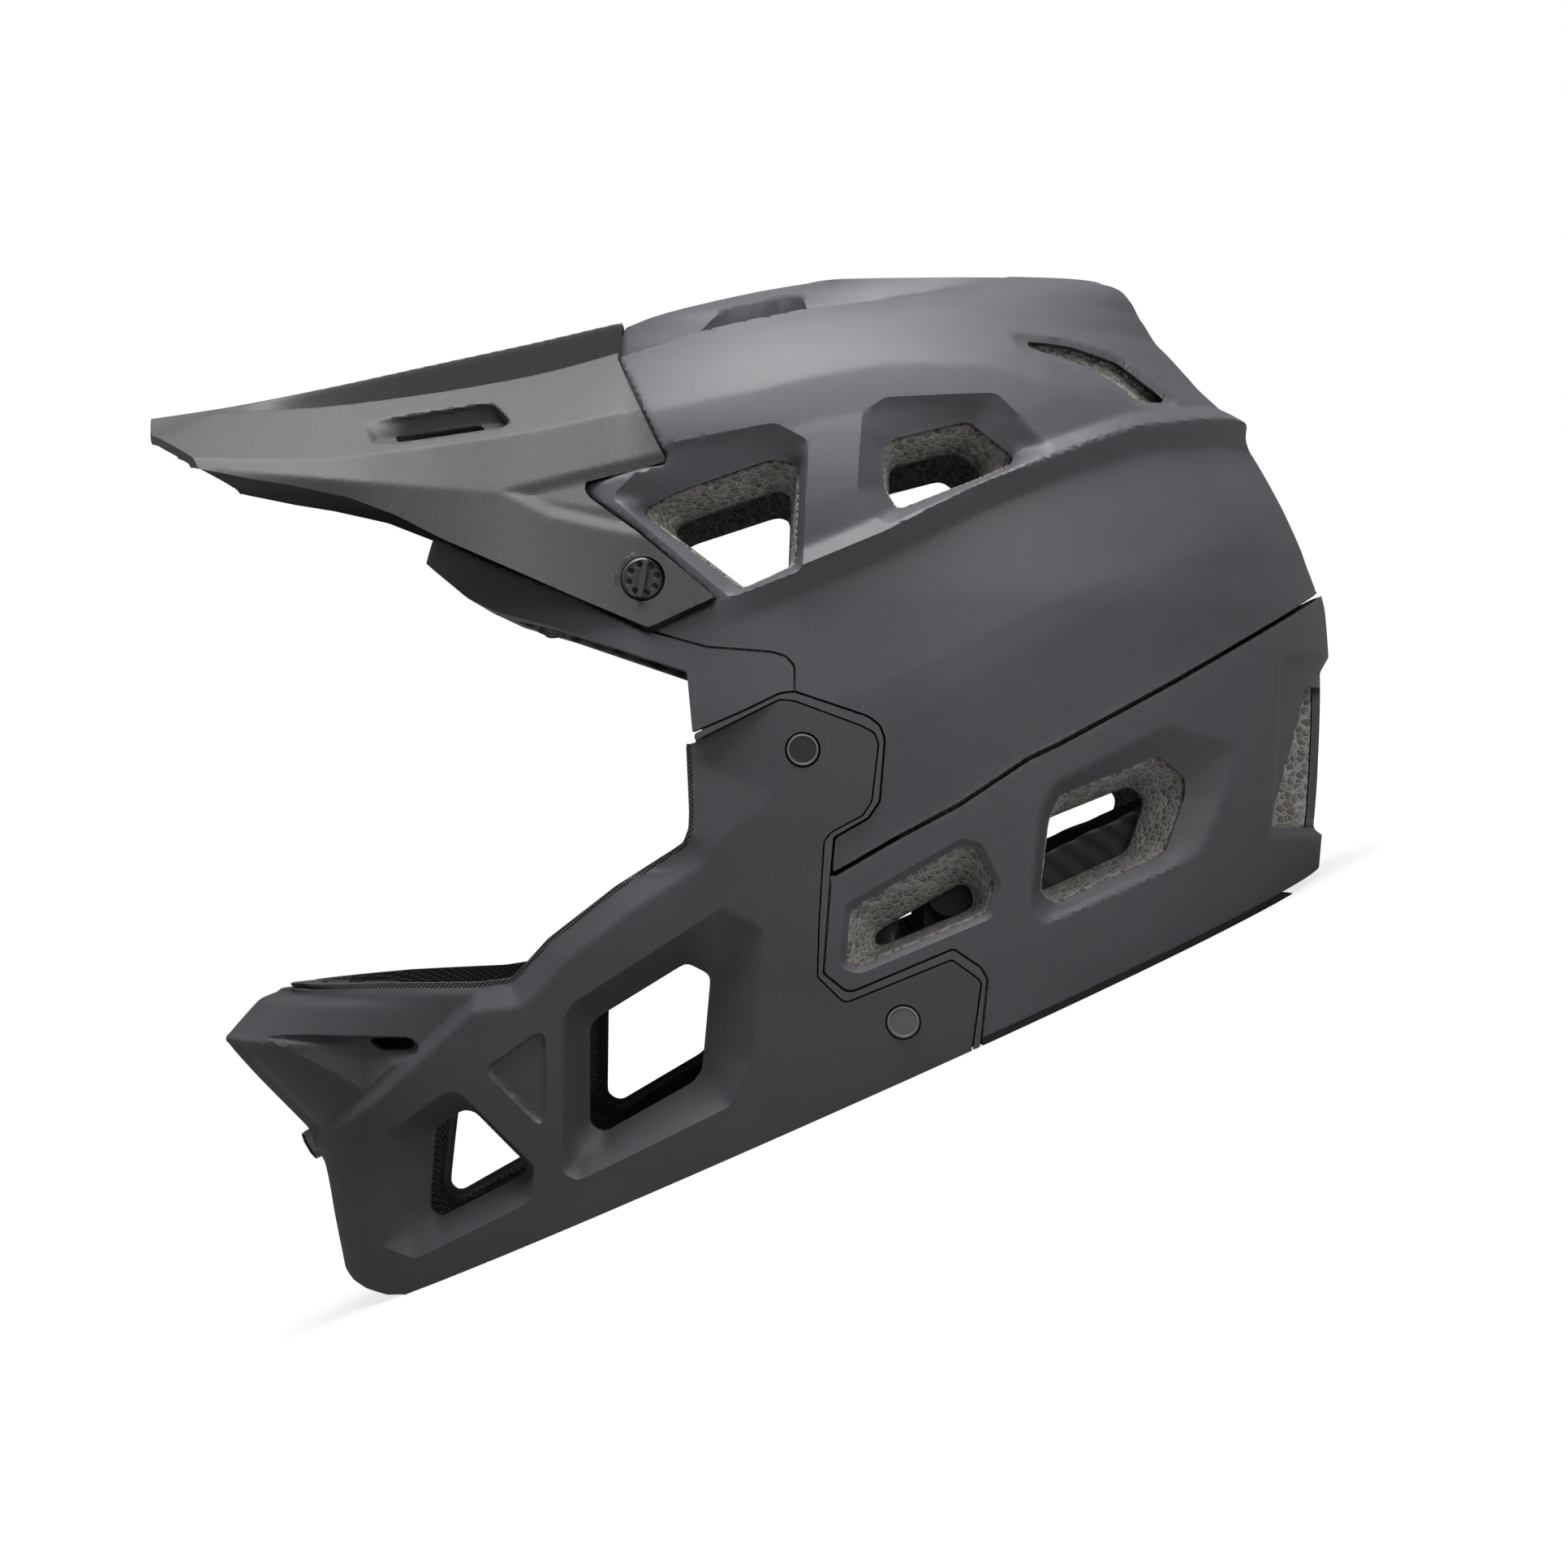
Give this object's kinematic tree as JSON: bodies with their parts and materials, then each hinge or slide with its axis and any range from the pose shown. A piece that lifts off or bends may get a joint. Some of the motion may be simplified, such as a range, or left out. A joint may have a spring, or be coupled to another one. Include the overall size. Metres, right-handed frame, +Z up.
{
  "type": "downhill bike full face helmet",
  "caption": "Full face helmet with a tilting visor, spring-button chin guard that comes off, foam liner, comfort pads and a buckled chin strap.",
  "frame": {"origin": "centre of the footprint, on the plane the bottom rim stands on", "axes": "-X is where the wearer looks, -Y is the wearer's left, +Z up; the helmet stands on its bottom rim, so the head axis leans back 24.3 degrees"},
  "size_m": [0.3864, 0.226, 0.29],
  "materials": {
    "shell": "matt charcoal paint over a moulded plastic skin",
    "visor": "matt, a little warmer than the shell",
    "guard": "matt charcoal",
    "foam": "expanded bead foam, grey-brown with pale cell edges",
    "liner": "woven black",
    "mesh": "open black net",
    "seal": "satin black",
    "button": "satin black",
    "fabric": "ribbed black knit",
    "webbing": "black webbing",
    "insert": "plain steel",
    "spring": "spring steel"
  },
  "bodies": {
    "helmet": {"upper_shell": "shell", "lower_shell": "shell", "brow_frame": "shell", "foam_crown": "foam", "foam_collar": "foam", "rim_trim": "seal", "dock_frame_left": "shell", "dock_frame_right": "shell", "visor_washer_left": "seal", "visor_insert_left": "insert", "latch_socket_upper_left": "insert", "latch_socket_lower_left": "insert", "cheek_pad_left": "fabric", "side_pad_left": "fabric", "strap_left": "webbing", "strap_anchor_left": "insert", "visor_washer_right": "seal", "visor_insert_right": "insert", "latch_socket_upper_right": "insert", "latch_socket_lower_right": "insert", "cheek_pad_right": "fabric", "side_pad_right": "fabric", "strap_right": "webbing", "strap_anchor_right": "insert", "brow_pad": "fabric", "neck_pad": "fabric", "crown_pad": "fabric", "buckle_housing": "seal", "buckle_tongue": "seal"},
    "visor": {"visor": "visor"},
    "visor_screw_left": {"visor_screw_left": "button"},
    "visor_screw_right": {"visor_screw_right": "button"},
    "chin_guard": {"chin_guard": "guard", "chin_liner": "liner", "chin_cap": "seal", "scoop_mesh_left": "mesh", "scoop_mesh_right": "mesh", "button_spring_upper_left": "spring", "button_spring_upper_right": "spring", "button_spring_lower_left": "spring", "button_spring_lower_right": "spring"},
    "release_button_upper_left": {"release_button_upper_left": "button"},
    "release_button_upper_right": {"release_button_upper_right": "button"},
    "release_button_lower_left": {"release_button_lower_left": "button"},
    "release_button_lower_right": {"release_button_lower_right": "button"}
  },
  "joints": [
    {"name": "visor_tilt", "type": "hinge", "parent": "helmet", "child": "visor", "pos_m": [-0.0057, 0, 0.173], "axis": [0, -1, 0], "range_deg": [0, 12]},
    {"name": "visor_screw_turn_left", "type": "hinge", "parent": "helmet", "child": "visor_screw_left", "pos_m": [-0.0057, -0.0945, 0.173], "axis": [0, -1, 0], "continuous": true},
    {"name": "visor_screw_turn_right", "type": "hinge", "parent": "helmet", "child": "visor_screw_right", "pos_m": [-0.0057, 0.0945, 0.173], "axis": [0, 1, 0], "continuous": true},
    {"name": "chin_guard_release", "type": "slide", "parent": "helmet", "child": "chin_guard", "axis": [-0.9989, 0, -0.0471], "range_m": [0, 0.14]},
    {"name": "release_button_press_upper_left", "type": "slide", "parent": "chin_guard", "child": "release_button_upper_left", "axis": [0, 1, 0], "range_m": [0, 0.0022], "stiffness_N_per_m": 800, "springref_m": -0.002, "deforming": ["button_spring_upper_left"]},
    {"name": "release_button_press_upper_right", "type": "slide", "parent": "chin_guard", "child": "release_button_upper_right", "axis": [0, -1, 0], "range_m": [0, 0.0022], "stiffness_N_per_m": 800, "springref_m": -0.002, "deforming": ["button_spring_upper_right"]},
    {"name": "release_button_press_lower_left", "type": "slide", "parent": "chin_guard", "child": "release_button_lower_left", "axis": [0, 1, 0], "range_m": [0, 0.0022], "stiffness_N_per_m": 800, "springref_m": -0.002, "deforming": ["button_spring_lower_left"]},
    {"name": "release_button_press_lower_right", "type": "slide", "parent": "chin_guard", "child": "release_button_lower_right", "axis": [0, -1, 0], "range_m": [0, 0.0022], "stiffness_N_per_m": 800, "springref_m": -0.002, "deforming": ["button_spring_lower_right"]}
  ]
}
